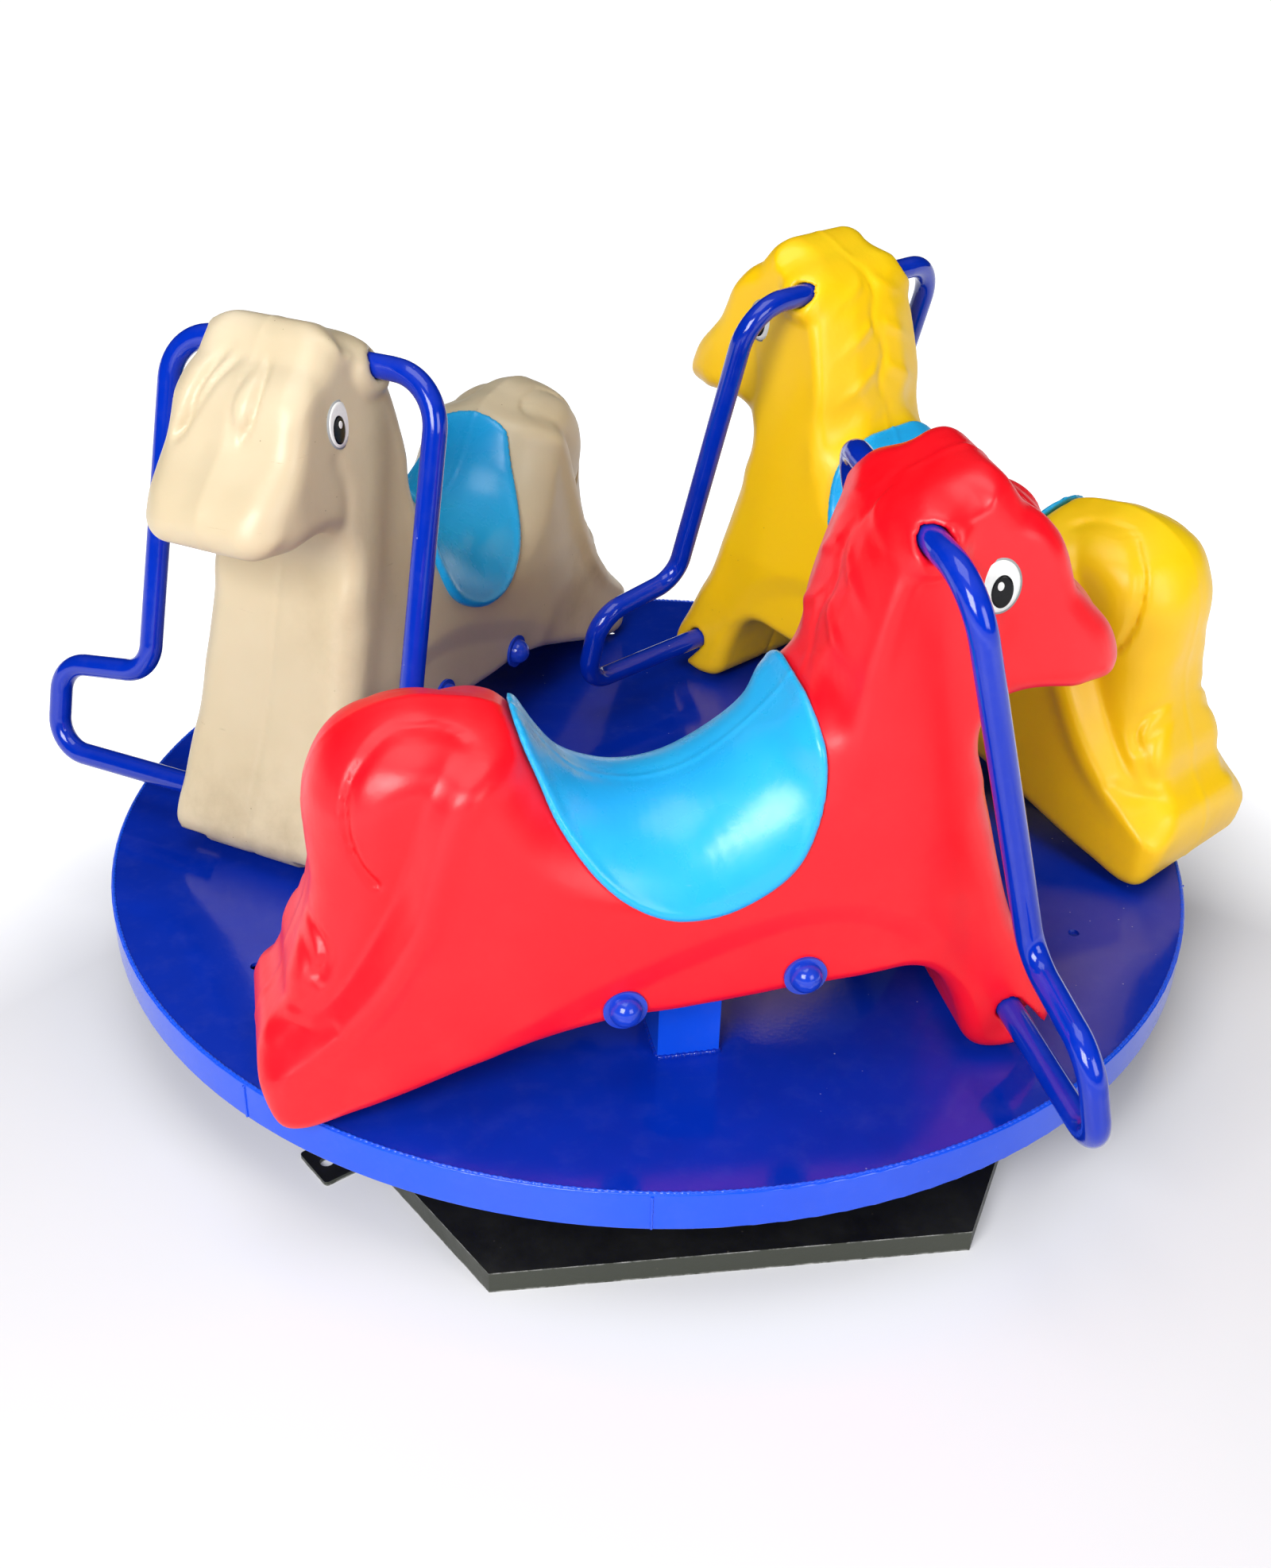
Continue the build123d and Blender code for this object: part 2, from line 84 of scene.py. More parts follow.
# How strongly the edge between side and outline is rounded near a place: x, z, radius.
ROUNDING = (
    (-320, 392, 72), (-386, 345, 68), (-405, 300, 62), (-418, 210, 48), (-436, 140, 36),
    (-464, 60, 26), (-300, 325, 60), (-440, 8, 15), (-330, 38, 13), (-200, 84, 13), (-60, 100, 12),
    (80, 112, 12), (140, 115, 14), (178, 75, 18), (200, 15, 20), (235, 8, 14), (276, 35, 16),
    (250, 104, 22), (222, 175, 30), (198, 260, 32), (174, 335, 20), (240, 387, 20), (286, 388, 32),
    (300, 408, 36), (276, 445, 28), (244, 490, 26), (218, 532, 22), (185, 563, 28), (155, 582, 40),
    (95, 555, 42), (62, 508, 34), (46, 448, 34), (28, 385, 52), (-30, 312, 86), (-110, 281, 90),
    (-180, 305, 88), (-222, 356, 80), (-257, 382, 76),
)

# Curves on the side of the body, millimetres: x, z.
HAUNCH_STEP = (
    (-176, 430), (-196, 400), (-216, 378), (-240, 361), (-262, 352), (-280, 342), (-293, 322),
    (-303, 290), (-313, 256), (-325, 220), (-344, 184), (-368, 148), (-398, 114), (-432, 82),
    (-480, 52),
)
RUMP_ARC = (
    (-266, 362), (-288, 371), (-312, 374), (-333, 370), (-350, 359), (-364, 342), (-371, 320),
    (-371, 296), (-364, 268), (-350, 246),
)
TAIL_LEAF = ((-414, 206), (-404, 196), (-397, 184), (-397, 170), (-404, 156))
TAIL_STRAND = ((-421, 184), (-414, 176), (-411, 160), (-416, 140), (-426, 124))
FOOT_CREASE = ((-396, 118), (-414, 108), (-434, 108), (-452, 100))
MANE_EDGE = (
    (88, 640), (86, 590), (84, 560), (84, 535), (76, 506), (66, 468), (58, 430), (53, 392),
    (46, 350),
)
CROWN_GROOVE = ((70, 520), (76, 542), (90, 562), (110, 572), (132, 570), (144, 560))
CROWN_RIDGE = ((140, 552), (150, 560), (160, 570))
NECK_RIDGE = ((95, 520), (78, 480), (68, 440), (62, 400), (60, 350), (66, 300))
BELLY_FOLD = (
    (-245, 70), (-201, 94), (-158, 117), (-87, 148), (-17, 172), (41, 182), (85, 172),
    (125, 148), (158, 112),
)
BROW = ((150, 600), (168, 582), (184, 556), (205, 528), (232, 504), (262, 478))
JOWL = ((196, 352), (176, 380), (168, 420), (176, 455))

# Curves on the front of the head, millimetres to the left and up.
FORELOCK_FLAME = ((-22, 568), (-34, 548), (-43, 522), (-50, 496), (-58, 478))
FORELOCK_FOLD = ((-14, 548), (-26, 530), (-36, 510), (-52, 484))
FORELOCK_CURL = (16, 520)

# Outline of the saddle on the side of the body, and its thickness, lip and edge rounding.
SADDLE_REGION = (
    (-242, 470), (-236, 400), (-225, 362), (-211, 326), (-197, 291), (-173, 254), (-146, 227),
    (-114, 209), (-84, 203), (-50, 208), (-14, 226), (10, 250), (25, 286), (31, 320), (30, 352),
    (23, 386), (14, 420), (6, 470),
)

SADDLE_THICK = 7.0
SADDLE_LIP = 1.3
SADDLE_EDGE = 5.0

# Half widths of the body in millimetres, and how much the side leans in for each millimetre up.
HALF_WIDTH = 100.0
RUMP_HALF_WIDTH = 70.0
LEAN_START = 200
LEAN_DROP, LEAN_RISE = 27.0, 400

# Centres of the tube entries and the eyes, millimetres: x, z. The post's opening: x, y.
HAND_HOLE = (106.0, 533.0)
FOOT_HOLE = (231.0, 58.0)
FOOT_SLOT_END = (262.0, 22.0)
HOLE_RADIUS = 13.6
HOLE_REACH = 60
EYE_AT = (167.0, 490.0)
POST_AT = (-66.0, 0.0)
POST_HALF = (30.0, 44.0)
POST_GAP = 2

# Weld beads, metres: radius of each kind, the ring they make on the deck, and the rim's seams.
POST_WELD, RIM_WELD, DECK_WELD = 0.0032, 0.0014, 0.0021
DECK_WELD_RING = 0.597
RIM_SEAM_ANGLES = (-137.0, -98.0, -18.0, 62.0, 140.0)

# The floor gives off light away from this place, so that it stays white to the edge of the view.
FLOOR_DIM_AT = (0, -0.8, 0)
FLOOR_DIM_RADIUS, FLOOR_FULL_RADIUS = 1.0, 1.5
FLOOR_DIM, FLOOR_FULL = 0.12, 1.0


# ---- maths on curves and fields -----------------------------------------------------------
def smooth_line(points, closed=False, parts=6):
    """A Catmull-Rom curve through points, as an array."""
    p = np.array(points, float)
    if closed:
        p = np.vstack([p[-1], p, p[:2]])
    else:
        p = np.vstack([2 * p[0] - p[1], p, 2 * p[-1] - p[-2]])
    t = np.linspace(0, 1, parts, endpoint=False)[:, None]
    rows = []
    for a, b, c, d in zip(p, p[1:], p[2:], p[3:]):
        bend = 2 * a - 5 * b + 4 * c - d
        rows.append(0.5 * (2 * b + (c - a) * t + bend * t ** 2 + (3 * b - a - 3 * c + d) * t ** 3))
    if not closed:
        rows.append(p[-2:-1])
    return np.vstack(rows)


def near_line(line, x, z, closed=False):
    """Distance to a polyline, and a sign that is positive on its left side."""
    a = line
    b = np.roll(line, -1, axis=0)
    if not closed:
        a, b = line[:-1], line[1:]
    best = np.full(x.shape, 1e9)
    sign = np.ones(x.shape)
    for (ax, az), (bx, bz) in zip(a, b):
        dx, dz = bx - ax, bz - az
        size = dx * dx + dz * dz
        if size < 1e-9:
            continue
        t = np.clip(((x - ax) * dx + (z - az) * dz) / size, 0, 1)
        ex, ez = x - ax - t * dx, z - az - t * dz
        d = np.hypot(ex, ez)
        closer = d < best - 1e-9
        best = np.where(closer, d, best)
        sign = np.where(closer, np.where(dx * ez - dz * ex >= 0, 1.0, -1.0), sign)
    return best, sign


def inside(line, x, z):
    """Signed distance to a closed outline, positive inside."""
    best, _ = near_line(line, x, z, closed=True)
    odd = np.zeros(x.shape, bool)
    for (ax, az), (bx, bz) in zip(line, np.roll(line, -1, axis=0)):
        if az == bz:
            continue
        crosses = (az > z) != (bz > z)
        odd ^= crosses & (x < (bx - ax) * (z - az) / (bz - az) + ax)
    return np.where(odd, best, -best)


def ramp(value, low, high):
    """Smooth step from 0 at low to 1 at high."""
    t = np.clip((value - low) / (high - low), 0, 1)
    return t * t * (3 - 2 * t)


def groove(distance, width):
    """A bell curve: 1 on the line, near 0 at twice the width from it."""
    return np.exp(-(distance / width) ** 2)


def surface_net(field, origin, step):
    """Closed quad mesh of the zero level of a sampled field that is negative inside."""
    solid = field < 0
    count = np.zeros(tuple(n - 1 for n in field.shape))
    total = np.zeros(count.shape + (3,))
    cells = [slice(None, -1), slice(1, None)]
    corners = [(i, j, k) for i in (0, 1) for j in (0, 1) for k in (0, 1)]
    for c in corners:
        for axis in range(3):
            if c[axis]:
                continue
            d = list(c)
            d[axis] = 1
            f0 = field[cells[c[0]], cells[c[1]], cells[c[2]]]
            f1 = field[cells[d[0]], cells[d[1]], cells[d[2]]]
            cross = (f0 < 0) != (f1 < 0)
            t = np.where(cross, f0 / np.where(cross, f0 - f1, 1), 0)
            count += cross
            for k in range(3):
                total[..., k] += np.where(cross, c[k] + (t if k == axis else 0), 0)
    used = count > 0
    index = np.full(count.shape, -1)
    index[used] = np.arange(used.sum())
    base = np.argwhere(used)
    points = (base + total[used] / count[used][:, None]) * step + np.array(origin)
    quads = []
    for axis in range(3):
        u, v = (axis + 1) % 3, (axis + 2) % 3
        low = [slice(1, -1)] * 3
        low[axis] = slice(0, -1)
        high = [slice(1, -1)] * 3
        high[axis] = slice(1, None)
        s0, s1 = solid[tuple(low)], solid[tuple(high)]
        for flip in (False, True):
            hit = np.argwhere(s0 & ~s1 if not flip else ~s0 & s1)
            at = hit + np.array([0 if k == axis else 1 for k in range(3)])
            ring = []
            for du, dv in ((0, 0), (-1, 0), (-1, -1), (0, -1)):
                cell = at.copy()
                cell[:, u] += du
                cell[:, v] += dv
                ring.append(index[cell[:, 0], cell[:, 1], cell[:, 2]])
            ring = np.stack(ring, axis=1)
            quads.append(ring[:, ::-1] if flip else ring)
    return points, np.vstack(quads)


# ---- the horse ----------------------------------------------------------------------------
def rounding(x, z):
    """Edge rounding at a place, blended from the nearest of the listed values."""
    weight = np.zeros(x.shape)
    value = np.zeros(x.shape)
    for ax, az, radius in ROUNDING:
        w = 1 / (((x - ax) ** 2 + (z - az) ** 2) / 400.0 + 1) ** 2
        weight += w
        value += w * radius
    return value / weight


def half_width(x, z):
    """Half the width of the body at a place in its side view."""
    width = HALF_WIDTH - LEAN_DROP * np.clip((z - LEAN_START) / LEAN_RISE, 0, 1.05)
    width = width - 11.0 * ramp(x, 235, 312) * ramp(z, 330, 370)

    step, side = near_line(smooth_line(HAUNCH_STEP), x, z)
    behind = step * -side
    back = ramp(behind, -5, 17)
    ball = 9.0 * ramp(np.hypot((x + 326) / 0.9, z - 318), 100, 18)
    rump = RUMP_HALF_WIDTH + 9 * ramp(z, 230, 90) + ball
    width = width + back * (rump - width)
    width = width + 4.0 * np.exp(-((behind + 14) / 12) ** 2) * ramp(z, 60, 140)

    arc, _ = near_line(smooth_line(RUMP_ARC), x, z)
    width = width - 7.0 * groove(arc, 3.3) * ramp(behind, 4, 18)

    leafy, _ = near_line(smooth_line(TAIL_LEAF), x, z)
    strand, _ = near_line(smooth_line(TAIL_STRAND), x, z)
    crease, _ = near_line(smooth_line(FOOT_CREASE), x, z)
    width = width - 4.0 * groove(crease, 5.0)
    width = width - 6.0 * groove(leafy, 5.0) - 4.0 * groove(strand, 6.0)

    edge, side = near_line(smooth_line(MANE_EDGE), x, z)
    rear = edge * -side
    mane = ramp(rear, -4, 14) * ramp(z, 350, 410)
    width = width - 21.0 * mane

    valley, _ = near_line(smooth_line(CROWN_GROOVE), x, z)
    crest, _ = near_line(smooth_line(CROWN_RIDGE), x, z)
    width = width - 5.0 * groove(valley, 9.0) + 4.0 * groove(crest, 7.0)
    ridge, _ = near_line(smooth_line(NECK_RIDGE), x, z)
    width = width + 2.6 * groove(ridge, 10) * ramp(z, 300, 380)

    fold, side = near_line(smooth_line(BELLY_FOLD), x, z)
    above = fold * side
    along = ramp(x, 190, 120) * ramp(x, -300, -215)
    width = width + 4.5 * np.clip((above + 1.5) / 26, 0, 1) * along

    brow, side = near_line(smooth_line(BROW), x, z)
    width = width - 5.0 * ramp(brow * side, -2, 14) * ramp(z, 470, 500)
    jowl, _ = near_line(smooth_line(JOWL), x, z)
    width = width - 2.2 * groove(jowl, 9)

    hole = np.hypot(x - HAND_HOLE[0], z - HAND_HOLE[1])
    turn = np.arctan2(z - HAND_HOLE[1], x - HAND_HOLE[0])
    crescent = groove(hole - 19, 4.0) * ramp(np.cos(turn - math.radians(140)), -0.3, 0.5)
    width = width + 9.0 * ramp(hole, 38, 20) + 3.0 * crescent
    hollow = np.hypot((x - EYE_AT[0]) / 1.2, (z - EYE_AT[1]) / 1.5)
    return width - 1.6 * groove(hollow, 17)


def face_relief(x, y, z):
    """Relief on the front of the head: the bridge of the nose, the forelock and nostrils."""
    front = ramp(x, 178, 205) * ramp(z, 330, 360)
    bridge = 3.0 * groove(y, 16) * ramp(z, 545, 505) * ramp(z, 395, 430)
    flame, _ = near_line(smooth_line(FORELOCK_FLAME), y, z)
    fold, _ = near_line(smooth_line(FORELOCK_FOLD), y, z)
    curl = np.hypot((y - FORELOCK_CURL[0]) / 11.0, (z - FORELOCK_CURL[1]) / 25.0)
    lock = 5.5 * ramp(curl, 1.25, 0.35) - 4.0 * groove(curl - 1.25, 0.25) * (y > FORELOCK_CURL[0])
    lock = lock - 7.0 * groove(flame, 5.0) - 4.5 * groove(fold, 4.5)
    nostril = np.hypot((np.abs(y) - 30) / 1.1, (z - 402) / 0.8)
    return front * (bridge + lock - 1.5 * groove(nostril, 8))


def mane_relief(x, y, z):
    """Locks of mane laid round the back of the neck, parted by a wandering line."""
    here = ramp(z, 385, 430) * ramp(x, 118, 84)
    turn = (z + 0.55 * np.abs(y) + 0.3 * x) * (2 * math.pi / 52.0)
    lock = (0.5 + 0.5 * np.cos(turn + 0.6 * np.sin(turn))) ** 2
    beside = ramp(np.abs(y), 4, 18) * ramp(np.abs(y), 84, 56)
    parting = groove(y - 5.0 * np.sin(z / 11.0), 6.0)
    return here * (2.6 * lock * beside - 2.4 * parting)


def horse_field(x, y, z):
    """Field that is negative inside the moulded body; its unit is about a millimetre."""
    line = smooth_line(OUTLINE, closed=True, parts=4)
    flat_x, flat_z = x[:, 0, :], z[:, 0, :]
    depth = inside(line, flat_x, flat_z)[:, None, :]
    radius = rounding(flat_x, flat_z)[:, None, :]
    width = half_width(flat_x, flat_z)[:, None, :]
    out = radius - (depth + face_relief(x, y, z) + mane_relief(x, y, z))
    side = np.abs(y) - (width - radius)
    field = np.minimum(np.maximum(out, side), 0) + np.hypot(np.maximum(out, 0), np.maximum(side, 0))
    field = field - radius
    seam = groove(y, 3.0) * (np.abs(depth) < 14)
    return field + np.where((x > 150) & (z < 385), 1.8, -0.9) * seam


def cut_holes(field, x, y, z):
    """Take the tube entries and the open slot of the hoof out of the body."""
    hand = np.hypot(x - HAND_HOLE[0], z - HAND_HOLE[1]) - HOLE_RADIUS
    way_out = np.array([FOOT_HOLE, FOOT_SLOT_END, (300.0, -20.0)])
    slot, _ = near_line(way_out, x[:, 0, :], z[:, 0, :])
    foot = (slot - HOLE_RADIUS)[:, None, :]
    deep = HOLE_REACH - np.abs(y)
    for cut in (np.maximum(hand, deep), np.maximum(foot, deep)):
        field = np.maximum(field, -cut)
    post = np.maximum(np.abs(x - POST_AT[0]) - POST_HALF[0] - POST_GAP,
                      np.abs(y) - POST_HALF[1] - POST_GAP)
    return np.maximum(field, -np.maximum(post, z - 150))


def sample_grid(low, high, step):
    """Coordinates of the corners of a box of cells."""
    axes = [np.arange(a, b + step, step) for a, b in zip(low, high)]
    return np.meshgrid(*axes, indexing="ij")


def horse_surface():
    """The moulded body as points and faces in its own frame, millimetres."""
    low, high = (-490, -125, -15), (345, 125, 625)
    x, y, z = sample_grid(low, high, GRID)
    return surface_net(cut_holes(horse_field(x, y, z), x, y, z), low, GRID)


def saddle_surface():
    """A thick draped sheet: the body grown outward, cut to the saddle's outline."""
    low, high = (-262, -125, 180), (58, 125, 440)
    x, y, z = sample_grid(low, high, SADDLE_GRID)
    body = horse_field(x, y, z)
    edge = inside(smooth_line(SADDLE_REGION, closed=True), x[:, 0, :], z[:, 0, :])[:, None, :]
    lip = SADDLE_LIP * groove(edge - 7, 3.2)
    skin = body - SADDLE_THICK - lip
    a, b = skin + SADDLE_EDGE, SADDLE_EDGE - edge
    top = np.minimum(np.maximum(a, b), 0) + np.hypot(np.maximum(a, 0), np.maximum(b, 0))
    return surface_net(np.maximum(top - SADDLE_EDGE, -(body + 4)), low, SADDLE_GRID)


# ---- objects --------------------------------------------------------------------------------
def station(name):
    """Matrix from a horse's own frame in metres to the shared frame."""
    angle, radius, toe = STATIONS[name]
    turn = Matrix.Rotation(math.radians(angle), 4, "Z")
    out = Matrix.Translation((radius * MM, 0, DECK_TOP))
    return turn @ out @ Matrix.Rotation(math.radians(90 + toe), 4, "Z")


def mesh_object(name, points, faces, material, matrix=None):
    mesh = bpy.data.meshes.new(name)
    mesh.from_pydata([tuple(p) for p in points], [], [tuple(int(i) for i in f) for f in faces])
    mesh.materials.append(material)
    if matrix is not None:
        mesh.transform(matrix)
    mesh.polygons.foreach_set("use_smooth", [True] * len(mesh.polygons))
    mesh.update()
    obj = bpy.data.objects.new(name, mesh)
    bpy.context.scene.collection.objects.link(obj)
    return obj


def relax(points, faces, rounds=2):
    """Even out the small steps a sampled grid leaves, without shrinking the shape."""
    edges = np.vstack([faces[:, [0, 1]], faces[:, [1, 2]], faces[:, [2, 3]], faces[:, [3, 0]]])
    count = np.bincount(edges.ravel(), minlength=len(points)).astype(float)[:, None]
    for pull in (0.5, -0.52) * rounds:
        total = np.zeros_like(points)
        for k in range(3):
            total[:, k] += np.bincount(edges[:, 0], points[edges[:, 1], k], len(points))
            total[:, k] += np.bincount(edges[:, 1], points[edges[:, 0], k], len(points))
        points = points + pull * (total / count - points)
    return points


def sweep(path, radius, sides=20):
    """Points and faces of a round tube along a path, closed at both ends."""
    path = [Vector(p) for p in path]
    points, faces = [], []
    normal = None
    for i, here in enumerate(path):
        ahead = path[min(i + 1, len(path) - 1)] - path[max(i - 1, 0)]
        ahead.normalize()
        if normal is None:
            normal = ahead.orthogonal().normalized()
        normal = (normal - ahead * normal.dot(ahead)).normalized()
        across = ahead.cross(normal)
        for k in range(sides):
            a = 2 * math.pi * k / sides
            points.append(here + (normal * math.cos(a) + across * math.sin(a)) * radius)
    for i in range(len(path) - 1):
        for k in range(sides):
            j = (k + 1) % sides
            faces.append((i * sides + k, i * sides + j, (i + 1) * sides + j, (i + 1) * sides + k))
    faces.append(tuple(range(sides))[::-1])
    faces.append(tuple(range((len(path) - 1) * sides, len(path) * sides)))
    return points, faces


# ---- materials ------------------------------------------------------------------------------
class Nodes:
    """A short way to build one node tree around a Principled shader."""

    def __init__(self, name):
        self.material = bpy.data.materials.new(name)
        self.material.use_nodes = True
        self.tree = self.material.node_tree
        self.shader = self.tree.nodes["Principled BSDF"]
        self.place = self.add("ShaderNodeTexCoord").outputs["Object"]

    def add(self, kind, **inputs):
        node = self.tree.nodes.new(kind)
        for key, value in inputs.items():
            self.feed(node.inputs[key.replace("_", " ")], value)
        return node

    def feed(self, socket, value):
        if isinstance(value, bpy.types.NodeSocket):
            self.tree.links.new(value, socket)
        else:
            socket.default_value = value

    def noise(self, scale, detail=4.0, rough=0.5, stretch=None):
        place = self.place
        if stretch:
            place = self.add("ShaderNodeMapping", Vector=place, Scale=stretch).outputs[0]
        node = self.add("ShaderNodeTexNoise", Vector=place, Scale=scale, Detail=detail)
        node.inputs["Roughness"].default_value = rough
        return node.outputs["Fac"]

    def specks(self, scale, size):
        """1 on small scattered dots, 0 elsewhere."""
        node = self.add("ShaderNodeTexVoronoi", Vector=self.place, Scale=scale)
        return self.span(node.outputs["Distance"], size, size * 0.55)

    def span(self, value, low, high, to_low=0.0, to_high=1.0):
        node = self.add("ShaderNodeMapRange")
        self.feed(node.inputs["Value"], value)
        ends = {"From Min": low, "From Max": high, "To Min": to_low, "To Max": to_high}
        for key, number in ends.items():
            node.inputs[key].default_value = number
        return node.outputs["Result"]

    def math(self, kind, a, b):
        node = self.tree.nodes.new("ShaderNodeMath")
        node.operation = kind
        self.feed(node.inputs[0], a)
        self.feed(node.inputs[1], b)
        return node.outputs[0]

    def mix(self, factor, a, b):
        node = self.tree.nodes.new("ShaderNodeMix")
        node.data_type = "RGBA"
        self.feed(node.inputs["Factor"], factor)
        self.feed(node.inputs["A"], a)
        self.feed(node.inputs["B"], b)
        return node.outputs["Result"]

    def height(self):
        node = self.add("ShaderNodeSeparateXYZ", Vector=self.place)
        return node.outputs["Z"]

    def facing_up(self):
        geometry = self.add("ShaderNodeNewGeometry")
        return self.add("ShaderNodeSeparateXYZ", Vector=geometry.outputs["Normal"]).outputs["Z"]

    def bump(self, *layers):
        """Bump from (height, depth in metres) layers, each feeding the next."""
        normal = None
        for value, depth in layers:
            node = self.add("ShaderNodeBump", Height=value, Distance=depth, Strength=1.0)
            if normal is not None:
                self.feed(node.inputs["Normal"], normal)
            normal = node.outputs["Normal"]
        self.feed(self.shader.inputs["Normal"], normal)

    def finish(self, colour, roughness, **constants):
        self.feed(self.shader.inputs["Base Color"], colour)
        self.feed(self.shader.inputs["Roughness"], roughness)
        for key, value in constants.items():
            self.shader.inputs[key.replace("_", " ")].default_value = value
        return self.material


def moulded_plastic(name, colour, faded, dirt, dirty=0.15, gloss=0.3, specks=0.05):
    """Rotomoulded plastic: faint mottling, sun fade on top, scuffs, dust low down, fine texture."""
    n = Nodes(name)
    mottle = n.span(n.noise(7.0, 3.0), 0.35, 0.7)
    up = n.span(n.facing_up(), -0.2, 1.0)
    base = n.mix(n.math("MULTIPLY", mottle, up), (*colour, 1), (*faded, 1))
    low = n.span(n.height(), DECK_TOP + 0.16, DECK_TOP + 0.02)
    cloud = n.span(n.noise(18.0, 6.0, 0.65), 0.45, 0.75)
    grime = n.math("MULTIPLY", n.math("MAXIMUM", low, n.span(n.noise(3.0, 2.0), 0.5, 0.8)), cloud)
    base = n.mix(n.math("MULTIPLY", grime, dirty), base, (*dirt, 1))
    scuff = n.span(n.noise(9.0, 9.0, 0.75, (1, 1, 7)), 0.66, 0.74)
    base = n.mix(n.math("MULTIPLY", scuff, dirty * 1.2), base, (*dirt, 1))
    dots = n.math("MULTIPLY", n.specks(62.0, 0.055), n.span(n.noise(5.0, 1.0), 0.52, 0.6))
    spot = (dirt[0] * 0.5, dirt[1] * 0.4, dirt[2] * 0.4, 1)
    base = n.mix(n.math("MULTIPLY", dots, specks), base, spot)
    rough = n.math("ADD", n.span(n.noise(24.0, 6.0, 0.6), 0.3, 0.7, gloss, gloss + 0.13),
                   n.math("MULTIPLY", scuff, 0.25))
    n.bump((n.noise(160.0, 2.0), 0.00012), (n.noise(16.0, 3.0), 0.0006), (scuff, 0.0001))
    return n.finish(base, rough, Coat_Weight=0.03, Coat_Roughness=0.14, Specular_IOR_Level=0.44,
                    Subsurface_Weight=0.05, Subsurface_Scale=0.01)


def gloss_paint(name, colour, deep, wear=0.5, gloss=0.12):
    """Powder coat: orange peel, dust film, hairline scratches and a few small chips."""
    n = Nodes(name)
    cloud = n.span(n.noise(5.0, 5.0, 0.6), 0.3, 0.75)
    base = n.mix(cloud, (*colour, 1), (*deep, 1))
    dust = n.span(n.noise(30.0, 8.0, 0.7), 0.5, 0.85)
    base = n.mix(n.math("MULTIPLY", dust, 0.05 * wear), base, (0.45, 0.5, 0.6, 1))
    chips = n.math("MULTIPLY", n.specks(48.0, 0.045), n.span(n.noise(3.2, 2.0), 0.56, 0.66))
    base = n.mix(n.math("MULTIPLY", chips, wear), base, (0.55, 0.6, 0.7, 1))
    hair = n.span(n.noise(60.0, 4.0, 0.7, (1, 14, 1)), 0.68, 0.76)
    film = n.span(dust, 0, 1, gloss, gloss + 0.1 * wear)
    rough = n.math("ADD", film, n.math("MULTIPLY", hair, 0.12))
    n.bump((n.noise(240.0, 2.0), 0.00008), (n.noise(9.0, 2.0), 0.0005), (chips, -0.0001))
    return n.finish(base, rough, Coat_Weight=0.15, Coat_Roughness=0.06, Specular_IOR_Level=0.4)


def base_paint(name):
    """Thin black paint on mill steel, rubbed off along the edges of plate and skirt; at the skirt's
    top edge the light band is a painted highlight as well.
    """
    n = Nodes(name)
    cloud = n.span(n.noise(11.0, 8.0, 0.7), 0.35, 0.75)
    base = n.mix(cloud, (0.006, 0.006, 0.006, 1), (0.016, 0.016, 0.013, 1))
    side = n.span(n.facing_up(), 0.7, 0.2)
    base = n.mix(n.math("MULTIPLY", side, 0.8), base, (0.05, 0.055, 0.04, 1))
    # Painted highlight and worn paint: the light grey band along the top edge of the sides is
    # painted in for that edge's highlight as well as for rubbed-off paint; the band at the foot is
    # rubbed-off paint.
    rub_and_highlight = n.span(n.noise(46.0, 6.0, 0.7), 0.42, 0.62)
    top = n.span(n.height(), 0.0222, 0.0238)
    foot = n.span(n.height(), 0.0022, 0.0004)
    edge = n.math("MULTIPLY", n.math("MULTIPLY", n.math("MAXIMUM", top, foot), side), rub_and_highlight)
    base = n.mix(edge, base, (0.42, 0.42, 0.4, 1))
    flake = n.math("MULTIPLY", n.specks(60.0, 0.07), rub_and_highlight)
    base = n.mix(n.math("MULTIPLY", flake, 0.35), base, (0.2, 0.17, 0.13, 1))
    n.bump((n.noise(130.0, 4.0), 0.0002), (cloud, 0.0004))
    return n.finish(base, n.span(cloud, 0, 1, 0.34, 0.6), Metallic=0.0, Specular_IOR_Level=0.4)


def bare_metal(name, colour, gloss=0.28):
    """Plated or turned metal with fine grain, smears and slight tarnish."""
    n = Nodes(name)
    tarnish = n.span(n.noise(40.0, 6.0, 0.65), 0.4, 0.75)
    dark = (colour[0] * 0.62, colour[1] * 0.6, colour[2] * 0.55, 1)
    base = n.mix(n.math("MULTIPLY", tarnish, 0.6), (*colour, 1), dark)
    grain = n.noise(420.0, 2.0, 0.5, (1, 1, 9))
    rough = n.span(grain, 0.3, 0.7, gloss, gloss + 0.16)
    n.bump((grain, 0.00004), (tarnish, 0.0001))
    return n.finish(base, rough, Metallic=1.0)


def rubber(name):
    """Black seal rubber with a film of dust."""
    n = Nodes(name)
    dust = n.span(n.noise(50.0, 6.0, 0.7), 0.45, 0.8)
    base = n.mix(n.math("MULTIPLY", dust, 0.4), (0.02, 0.02, 0.02, 1), (0.12, 0.11, 0.1, 1))
    n.bump((n.noise(500.0, 3.0), 0.0001))
    return n.finish(base, n.span(dust, 0, 1, 0.6, 0.8))


def print_ink(name, colour, rough):
    """The thin printed film of an eye label, with faint speckle and scratches."""
    n = Nodes(name)
    fleck = n.span(n.noise(220.0, 5.0, 0.6), 0.4, 0.75)
    worn = tuple(c * 0.82 + 0.004 for c in colour)
    base = n.mix(n.math("MULTIPLY", fleck, 0.5), (*colour, 1), (*worn, 1))
    n.bump((n.noise(300.0, 2.0), 0.00004))
    return n.finish(base, n.span(fleck, 0, 1, rough, rough + 0.12), Specular_IOR_Level=0.2)


